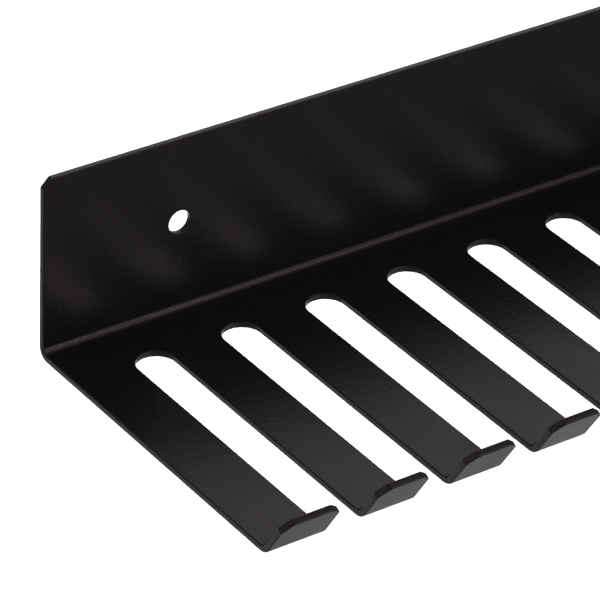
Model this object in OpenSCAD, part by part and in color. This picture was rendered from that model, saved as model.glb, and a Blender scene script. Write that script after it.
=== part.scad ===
// Wall cue rack, folded from one sheet of steel.
// +X runs along the rack, -Y points out into the room and +Z is up.
// The origin is midway between the two screw holes, on the face that lies on the wall.
// The sheet is one piece. It is drawn as regions that meet face to face where the folds start and end.

/* [Sheet] */
// Thickness of the coated sheet
sheet_t = 2.7; // [1.2:0.1:4]
// Inside radius of the fold between flange and shelf
corner_ri = 2.6; // [1.5:0.1:6]
// Inside radius of the fold at each fingertip
tip_ri = 3.5; // [1.5:0.5:6]

/* [Wall flange] */
// Height from the underside of the shelf to the top edge
flange_h = 76.2; // [60:0.1:120]
// Cut across each top corner
flange_chamfer = 3.5; // [0:0.5:8]

/* [Screw holes] */
// Distance between the two screw holes
hole_spacing = 403.5; // [300:0.1:450]
// Diameter of each screw hole
hole_d = 9.5; // [5:0.1:12]
// Distance from the hole centres up to the top edge
hole_drop = 35.6; // [15:0.1:50]

/* [Shelf and slots] */
// Number of slots along the rack
slot_count = 13; // [3:1:20]
// Distance from one slot to the next
slot_pitch = 38.1; // [30:0.1:50]
// Width of each slot
slot_w = 15.9; // [10:0.1:25]
// Width of the first and the last finger
end_finger_w = 24.6; // [20:0.1:40]
// Distance from the wall to the closed end of each slot
slot_root = 21.6; // [12:0.1:40]
// Depth from the wall to the outside corner of the tip fold
shelf_depth = 147.5; // [90:0.5:200]

/* [Tips] */
// Angle that each tip is folded up from the shelf
tip_angle = 58; // [30:1:80]
// Length of each tip, from the outside corner of its fold to its edge
tip_l = 21; // [12:0.1:35]
// Cut across the two corners of each tip
tip_chamfer = 4; // [0:0.5:6]

/* [Hidden] */
$fn = 96;
// A cutter reaches past the face it opens by this much
past = 1;
finger_count = slot_count + 1;
finger_w = slot_pitch - slot_w;
rack_l = 2 * end_finger_w + slot_count * slot_pitch - finger_w;
left_x = -rack_l / 2;
top_z = hole_drop;
under_z = top_z - flange_h;
corner_ro = corner_ri + sheet_t;
tip_ro = tip_ri + sheet_t;
slot_r = slot_w / 2;
// The straight sides of the slots start here, where the rounded ends stop
straight_y = slot_root + slot_r;
// The tip fold starts this far from the wall
fold_y = shelf_depth - tip_ro * tan(tip_angle / 2);
tip_flat_l = tip_l - tip_ro * tan(tip_angle / 2);
paint = [0.12, 0.12, 0.125];

function numbered(word, i) = str(word, "_", i < 10 ? "0" : "", i);

// Left side of a finger, counted from 1 at the left end
function finger_x(i) = i == 1 ? left_x : left_x + end_finger_w + slot_w + (i - 2) * slot_pitch;

// The two end fingers are wider than the rest
function width_of(i) = i == 1 || i == finger_count ? end_finger_w : finger_w;

// Centre of a slot along the rack, counted from 1 at the left end
function slot_x(i) = left_x + end_finger_w + slot_r + (i - 1) * slot_pitch;

// A quarter turn, or less, of folded sheet that starts under its centre and runs along +X
module fold(inside_r, angle, length) {
    rotate([0, 90, 0])
        rotate_extrude(angle = angle)
            translate([inside_r, 0])
                square([sheet_t, length]);
}

// Upright plate against the wall, with its top corners cut off and its two screw holes
module wall_flange() {
    flat_h = flange_h - corner_ro;
    c = flange_chamfer;
    color(paint)
        difference() {
            translate([left_x, 0, under_z + corner_ro])
                rotate([90, 0, 0])
                    linear_extrude(sheet_t)
                        polygon([
                            [0, 0],
                            [rack_l, 0],
                            [rack_l, flat_h - c],
                            [rack_l - c, flat_h],
                            [c, flat_h],
                            [0, flat_h - c]
                        ]);
            for (side = [-1, 1])
                translate([side * hole_spacing / 2, past, 0])
                    rotate([90, 0, 0])
                        cylinder(d = hole_d, h = sheet_t + 2 * past);
        }
}

// Fold along the whole rack that turns the flange into the shelf
module corner_bend() {
    color(paint)
        translate([left_x, -corner_ro, under_z + corner_ro])
            fold(corner_ri, 90, rack_l);
}

// Uncut part of the shelf, with the rounded ends of the slots let into its front
module shelf_strip() {
    color(paint)
        difference() {
            translate([left_x, -straight_y, under_z])
                cube([rack_l, straight_y - corner_ro, sheet_t]);
            for (i = [1 : slot_count])
                translate([slot_x(i), -straight_y, under_z - past])
                    cylinder(r = slot_r, h = sheet_t + 2 * past);
        }
}

// Flat finger between two slots
module finger(i) {
    color(paint)
        translate([finger_x(i), -fold_y, under_z])
            cube([width_of(i), fold_y - straight_y, sheet_t]);
}

// Fold and raised end of one finger, with both corners cut off
module tip(i) {
    w = width_of(i);
    c = tip_chamfer;
    color(paint)
        translate([finger_x(i), -fold_y, under_z + tip_ro]) {
            rotate([-tip_angle, 0, 0])
                fold(tip_ri, tip_angle, w);
            rotate([-tip_angle, 0, 0])
                translate([0, 0, -tip_ro])
                    linear_extrude(sheet_t)
                        polygon([
                            [0, 0],
                            [w, 0],
                            [w, c - tip_flat_l],
                            [w - c, -tip_flat_l],
                            [c, -tip_flat_l],
                            [0, c - tip_flat_l]
                        ]);
        }
}

wall_flange();
corner_bend();
shelf_strip();
for (i = [1 : finger_count])
    finger(i);
for (i = [1 : finger_count])
    tip(i);
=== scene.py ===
"""Wall cue rack: one steel sheet, cut, folded twice and powder coated satin black."""

import math

import bpy
from mathutils import Matrix, Vector


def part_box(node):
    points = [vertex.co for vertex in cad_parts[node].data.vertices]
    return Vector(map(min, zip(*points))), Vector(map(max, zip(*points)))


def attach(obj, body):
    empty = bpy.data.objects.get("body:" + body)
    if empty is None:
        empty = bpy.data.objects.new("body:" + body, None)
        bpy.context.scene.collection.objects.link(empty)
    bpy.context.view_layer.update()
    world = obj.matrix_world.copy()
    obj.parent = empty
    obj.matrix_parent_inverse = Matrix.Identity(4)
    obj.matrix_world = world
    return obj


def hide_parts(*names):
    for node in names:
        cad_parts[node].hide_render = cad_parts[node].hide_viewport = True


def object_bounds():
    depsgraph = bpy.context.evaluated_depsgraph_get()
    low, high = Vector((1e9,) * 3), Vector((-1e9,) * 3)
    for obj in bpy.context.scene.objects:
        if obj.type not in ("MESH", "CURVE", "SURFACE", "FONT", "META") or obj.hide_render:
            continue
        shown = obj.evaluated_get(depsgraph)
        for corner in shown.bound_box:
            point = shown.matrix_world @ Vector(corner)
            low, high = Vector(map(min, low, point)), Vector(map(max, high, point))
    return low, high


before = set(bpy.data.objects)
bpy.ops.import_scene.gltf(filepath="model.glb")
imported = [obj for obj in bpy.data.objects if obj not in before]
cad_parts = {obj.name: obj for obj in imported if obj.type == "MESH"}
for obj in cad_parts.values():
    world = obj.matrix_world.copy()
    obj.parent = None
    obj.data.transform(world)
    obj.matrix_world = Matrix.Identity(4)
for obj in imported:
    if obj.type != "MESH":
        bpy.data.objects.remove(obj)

cad_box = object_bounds()


# ---------------------------------------------------------------- the folded sheet
# The rack is one piece of mild steel, 2.7 mm thick with its coating. A brake folds it
# along the wall flange and again at the tips, so its thickness is carried round both
# folds without a seam.

flange_low, flange_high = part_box("wall_flange")
corner_low, corner_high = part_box("corner_bend")
strip_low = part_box("shelf_strip")[0]
finger_low, finger_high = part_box("finger_01")

rack_length = flange_high.x - flange_low.x
sheet_thickness = flange_high.y - flange_low.y
shelf_underside = finger_low.z
tip_outside_radius = 0.0062
tip_angle = math.radians(58)
tip_length = 0.021
tip_flat_length = tip_length - tip_outside_radius * math.tan(tip_angle / 2)
tip_direction = Vector((0, -math.cos(tip_angle), math.sin(tip_angle)))
corner_steps = 24
tip_steps = 16


def only(piece):
    """Selects one object and nothing else, because the loaded nodes come in selected."""
    bpy.ops.object.select_all(action="DESELECT")
    piece.select_set(True)
    bpy.context.view_layer.objects.active = piece


bpy.ops.object.select_all(action="DESELECT")
bpy.ops.mesh.primitive_plane_add(
    size=1, location=(0, -sheet_thickness / 2, flange_high.z)
)
folded_sheet = bpy.context.object
folded_sheet.name = "folded_sheet"
folded_sheet.data.name = "folded_sheet"
folded_sheet.scale = (rack_length, sheet_thickness, 1)
bpy.ops.object.transform_apply(location=True, rotation=True, scale=True)

# The cut edge along the top is drawn down the wall, round the corner, along the shelf,
# round the tip fold and up to the edge of the tips.
bpy.ops.object.mode_set(mode="EDIT")
bpy.ops.mesh.select_all(action="SELECT")
bpy.ops.mesh.extrude_region_move(
    TRANSFORM_OT_translate={"value": (0, 0, flange_low.z - flange_high.z)}
)
bpy.ops.mesh.spin(
    steps=corner_steps,
    angle=math.pi / 2,
    center=(0, corner_low.y, corner_high.z),
    axis=(1, 0, 0),
)
bpy.ops.mesh.extrude_region_move(
    TRANSFORM_OT_translate={"value": (0, finger_low.y - corner_low.y, 0)}
)
bpy.ops.mesh.spin(
    steps=tip_steps,
    angle=tip_angle,
    center=(0, finger_low.y, shelf_underside + tip_outside_radius),
    axis=(1, 0, 0),
)
bpy.ops.mesh.extrude_region_move(
    TRANSFORM_OT_translate={"value": tip_direction * tip_flat_length}
)
bpy.ops.mesh.select_all(action="SELECT")
bpy.ops.mesh.remove_doubles(threshold=1e-6)
bpy.ops.mesh.normals_make_consistent(inside=False)
bpy.ops.object.mode_set(mode="OBJECT")


# ---------------------------------------------------------------- what is cut out of it
# A laser cuts the blank before it is folded: thirteen round-ended slots, a screw hole
# near each end, and the corners taken off the flange and off every tip.

slot_count = 13
slot_pitch = 0.0381
slot_radius = (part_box("finger_02")[0].x - finger_high.x) / 2
first_slot_x = finger_high.x + slot_radius
hole_radius = 0.00475
hole_spacing = 0.4035
flange_chamfer = 0.0035
tip_chamfer = 0.004
# Every cutter stands this far past the sheet, or is this many times as thick as it.
cutter_depth = 0.03
slot_reach = 0.03
cutter_thickness = 4 * sheet_thickness
slot_sides = 64
hole_sides = 72
merge_distance = 1e-5


def cut_away(cutter):
    """Takes the cutter's shape out of the sheet and throws the cutter away."""
    only(folded_sheet)
    cut = folded_sheet.modifiers.new("cut", "BOOLEAN")
    cut.operation = "DIFFERENCE"
    cut.solver = "EXACT"
    cut.object = cutter
    bpy.ops.object.modifier_apply(modifier=cut.name)
    bpy.data.objects.remove(cutter, do_unlink=True)
    bpy.ops.object.mode_set(mode="EDIT")
    bpy.ops.mesh.select_all(action="SELECT")
    bpy.ops.mesh.remove_doubles(threshold=merge_distance)
    bpy.ops.object.mode_set(mode="OBJECT")


def along_the_slots(cutter):
    """Repeats a cutter once for each slot."""
    row = cutter.modifiers.new("row", "ARRAY")
    row.count = slot_count
    row.use_relative_offset = False
    row.use_constant_offset = True
    row.constant_offset_displace = (slot_pitch, 0, 0)
    only(cutter)
    bpy.ops.object.modifier_apply(modifier=row.name)


# A slot cutter is a round bar cut in half along its length and drawn out past the tips.
bpy.ops.object.select_all(action="DESELECT")
bpy.ops.mesh.primitive_cylinder_add(
    vertices=slot_sides,
    radius=slot_radius,
    depth=2 * cutter_depth,
    location=(first_slot_x, strip_low.y, shelf_underside),
)
slot_cutter = bpy.context.object
bpy.ops.object.transform_apply(location=True, rotation=True, scale=True)
bpy.ops.object.mode_set(mode="EDIT")
bpy.ops.mesh.select_all(action="SELECT")
bpy.ops.mesh.bisect(
    plane_co=(first_slot_x, strip_low.y, shelf_underside),
    plane_no=(0, -1, 0),
    use_fill=True,
    clear_outer=True,
)
bpy.ops.mesh.extrude_region_move(
    TRANSFORM_OT_translate={"value": (0, finger_low.y - strip_low.y - slot_reach, 0)}
)
bpy.ops.object.mode_set(mode="OBJECT")
along_the_slots(slot_cutter)
cut_away(slot_cutter)

# A corner cutter is a square bar stood on its edge, centred on the corner that it takes.
tip_fold_centre = Vector((0, finger_low.y, shelf_underside + tip_outside_radius))
mid_sheet_radius = Vector((0, 0, sheet_thickness / 2 - tip_outside_radius))
tip_edge = (
    tip_fold_centre
    + Matrix.Rotation(-tip_angle, 3, "X") @ mid_sheet_radius
    + tip_direction * tip_flat_length
)
for side in (-1, 1):
    slot_side = first_slot_x + side * slot_radius
    rack_end = side * rack_length / 2
    for x, repeated in ((slot_side, True), (rack_end, False)):
        bpy.ops.mesh.primitive_cube_add(size=1, location=(x, tip_edge.y, tip_edge.z))
        corner_cutter = bpy.context.object
        corner_cutter.rotation_mode = "ZYX"
        corner_cutter.rotation_euler = (-tip_angle, 0, math.pi / 4)
        corner_cutter.scale = (
            tip_chamfer * math.sqrt(2),
            tip_chamfer * math.sqrt(2),
            cutter_thickness,
        )
        bpy.ops.object.transform_apply(location=True, rotation=True, scale=True)
        if repeated:
            along_the_slots(corner_cutter)
        cut_away(corner_cutter)
    bpy.ops.mesh.primitive_cube_add(
        size=1, location=(rack_end, -sheet_thickness / 2, flange_high.z)
    )
    corner_cutter = bpy.context.object
    corner_cutter.rotation_euler = (0, math.pi / 4, 0)
    corner_cutter.scale = (
        flange_chamfer * math.sqrt(2),
        cutter_thickness,
        flange_chamfer * math.sqrt(2),
    )
    bpy.ops.object.transform_apply(location=True, rotation=True, scale=True)
    cut_away(corner_cutter)
    bpy.ops.mesh.primitive_cylinder_add(
        vertices=hole_sides,
        radius=hole_radius,
        depth=cutter_thickness,
        location=(side * hole_spacing / 2, -sheet_thickness / 2, 0),
        rotation=(math.pi / 2, 0, 0),
    )
    cut_away(bpy.context.object)

# Tumbling and the coating leave every cut edge softly rounded. An edge is a cut edge
# where the faces turn by more than the angle here, which the steps of the folds don't.
edge_radius = 0.00055
edge_segments = 4
cut_edge_angle = math.radians(35)
smooth_angle = math.radians(30)
only(folded_sheet)
rounding = folded_sheet.modifiers.new("rounded edges", "BEVEL")
rounding.width = edge_radius
rounding.segments = edge_segments
rounding.limit_method = "ANGLE"
rounding.angle_limit = cut_edge_angle
rounding.use_clamp_overlap = False
bpy.ops.object.modifier_apply(modifier=rounding.name)
bpy.ops.object.shade_smooth_by_angle(angle=smooth_angle)
facing = folded_sheet.modifiers.new("flat faces stay flat", "WEIGHTED_NORMAL")
facing.keep_sharp = True
bpy.ops.object.modifier_apply(modifier=facing.name)


# ---------------------------------------------------------------- powder coating
# Satin black polyester powder, sprayed on and baked. It melts to a skin with a fine
# orange peel: near black face on, and softly grey where it mirrors something pale.


def linear(hex_colour):
    """sRGB hex to the linear colour that the shader takes."""
    parts = [int(hex_colour[i : i + 2], 16) / 255 for i in (1, 3, 5)]
    return [
        c / 12.92 if c <= 0.04045 else ((c + 0.055) / 1.055) ** 2.4 for c in parts
    ] + [1]


def node(material, kind, settings=(), links=()):
    """Adds one shader node, sets its inputs and settings, and links what feeds it."""
    made = material.node_tree.nodes.new(kind)
    for name, value in dict(settings).items():
        if name in made.inputs:
            made.inputs[name].default_value = value
        else:
            setattr(made, name, value)
    for name, source in dict(links).items():
        material.node_tree.links.new(source, made.inputs[name])
    return made


# Real orange peel is about 0.5 to 1 mm across; it is drawn at 2 mm so that it shows.
peel_size = 0.002
peel_height = 0.0001
# Where the powder lay thicker the skin flowed out glossier, in patches a few cm wide.
patch_size = 0.03

powder_coat = bpy.data.materials.new("satin_black_powder_coat")
powder_coat.use_nodes = True
powder_coat.node_tree.nodes.clear()
place = node(powder_coat, "ShaderNodeTexCoord")
peel = node(
    powder_coat,
    "ShaderNodeTexNoise",
    {"Scale": 1 / peel_size, "Detail": 3, "Roughness": 0.55},
    {"Vector": place.outputs["Object"]},
)
patches = node(
    powder_coat,
    "ShaderNodeTexNoise",
    {"Scale": 1 / patch_size, "Detail": 4, "Roughness": 0.6},
    {"Vector": place.outputs["Object"]},
)
gloss = node(
    powder_coat,
    "ShaderNodeMapRange",
    {"From Min": 0.3, "From Max": 0.7, "To Min": 0.3, "To Max": 0.36},
    {"Value": patches.outputs["Fac"]},
)
depth_of_black = node(
    powder_coat,
    "ShaderNodeMix",
    {"data_type": "RGBA"},
    {"Factor": peel.outputs["Fac"]},
)
depth_of_black.inputs[6].default_value = linear("#050405")
depth_of_black.inputs[7].default_value = linear("#131113")
skin = node(
    powder_coat,
    "ShaderNodeBump",
    {"Strength": 1, "Distance": peel_height},
    {"Height": peel.outputs["Fac"]},
)
coat = node(
    powder_coat,
    "ShaderNodeBsdfPrincipled",
    {"IOR": 1.38, "Specular Tint": (1, 0.8, 0.95, 1)},
    {
        "Base Color": depth_of_black.outputs[2],
        "Roughness": gloss.outputs["Result"],
        "Normal": skin.outputs["Normal"],
    },
)
node(powder_coat, "ShaderNodeOutputMaterial", {}, {"Surface": coat.outputs["BSDF"]})

folded_sheet.data.materials.clear()
folded_sheet.data.materials.append(powder_coat)
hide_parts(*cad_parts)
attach(folded_sheet, "root")


# ---------------------------------------------------------------- floor, light and camera
# A pale studio floor well below the rack, whitened by pools of light, in an evenly lit
# room. Softboxes stand behind, in front, high up and to the left: the fingers, the wall
# flange, the fold and the cut edges each mirror one of them or a pool.

floor_drop = 0.55
floor_size = 30
bpy.ops.object.select_all(action="DESELECT")
bpy.ops.mesh.primitive_plane_add(
    size=floor_size, location=(0, 0, cad_box[0].z - floor_drop)
)
floor = bpy.context.object
floor.name = "studio_floor"
# Matt photographic background card: a dyed paper surface with no gloss to speak of.
pale_card = bpy.data.materials.new("pale_grey_card")
pale_card.use_nodes = True
pale_card.node_tree.nodes.clear()
card = node(
    pale_card,
    "ShaderNodeBsdfPrincipled",
    {"Base Color": linear("#ececec"), "Roughness": 0.9, "Specular IOR Level": 0},
)
node(pale_card, "ShaderNodeOutputMaterial", {}, {"Surface": card.outputs["BSDF"]})
floor.data.materials.append(pale_card)

room_light = 0.4
room = bpy.data.worlds.new("pale_room")
bpy.context.scene.world = room
room.use_nodes = True
background = room.node_tree.nodes["Background"]
background.inputs["Color"].default_value = (1, 1, 1, 1)
background.inputs["Strength"].default_value = room_light

rack_middle = (cad_box[0] + cad_box[1]) / 2


def lamp(name, kind, position, aim, power):
    """A light at a position, turned to face a point."""
    made = bpy.data.objects.new(name, bpy.data.lights.new(name, kind))
    bpy.context.collection.objects.link(made)
    made.location = position
    towards = Vector(aim) - Vector(position)
    made.rotation_euler = towards.to_track_quat("-Z", "Y").to_euler()
    made.data.energy = power
    return made.data


# Three pools of light whiten the floor: behind the rack, to its left where the cut edges
# look, and in front of it where the wall flange looks. Each has its place, the spot it is
# aimed at, its cone in degrees and its power.
pool_softness = 0.1
for name, position, aim, cone, power in (
    ("back_pool", (0.45, 1.2, 1.8), (0.38, 0.84, -0.6), 42, 305),
    ("left_pool", (-0.7, 1.0, 1.8), (-0.6, 0.75, -0.6), 42, 70),
    ("front_pool", (0.3, -1.2, 1.4), (0.35, -0.95, -0.6), 48, 58),
):
    pool = lamp(name, "SPOT", position, aim, power)
    pool.spot_size = math.radians(cone)
    pool.spot_blend = 1
    pool.shadow_soft_size = pool_softness
# Each softbox: which way it stands from the rack, how wide it is, and its power.
softbox_distance = 1.8
for name, direction, size, power in (
    ("back_softbox", (0.5, 0.684, 0.53), 1.2, 3.4),
    ("front_softbox", (0.3, -1.2, 0.3), 0.8, 6.5),
    ("high_softbox", (0.4, -0.51, 0.67), 0.35, 2.5),
    ("left_softbox", (-0.9, -0.1, 0.45), 0.8, 0.8),
):
    stand = rack_middle + Vector(direction).normalized() * softbox_distance
    softbox = lamp(name, "AREA", stand, rack_middle, power)
    softbox.shape = "SQUARE"
    softbox.size = size

# A long lens from the front left, looking down on the left half of the rack.
focal_length = 247.65
sensor_width = 36
camera_azimuth = math.radians(-36.13)
camera_elevation = math.radians(32.04)
camera_roll = math.radians(2.52)
camera_distance = 1.5555
camera_target = Vector((-0.15873, -0.02104, -0.0382))
camera_back = Vector(
    (
        math.sin(camera_azimuth) * math.cos(camera_elevation),
        -math.cos(camera_azimuth) * math.cos(camera_elevation),
        math.sin(camera_elevation),
    )
)
lens = bpy.data.cameras.new("camera")
lens.lens = focal_length
lens.sensor_width = sensor_width
camera = bpy.data.objects.new("camera", lens)
bpy.context.collection.objects.link(camera)
camera.rotation_mode = "QUATERNION"
camera.location = camera_target + camera_back * camera_distance
upright = (-camera_back).to_track_quat("-Z", "Y").to_matrix().to_4x4()
camera.rotation_quaternion = (
    Matrix.Rotation(camera_roll, 4, camera_back) @ upright
).to_quaternion()
bpy.context.scene.camera = camera
bpy.context.scene.view_settings.view_transform = "Standard"
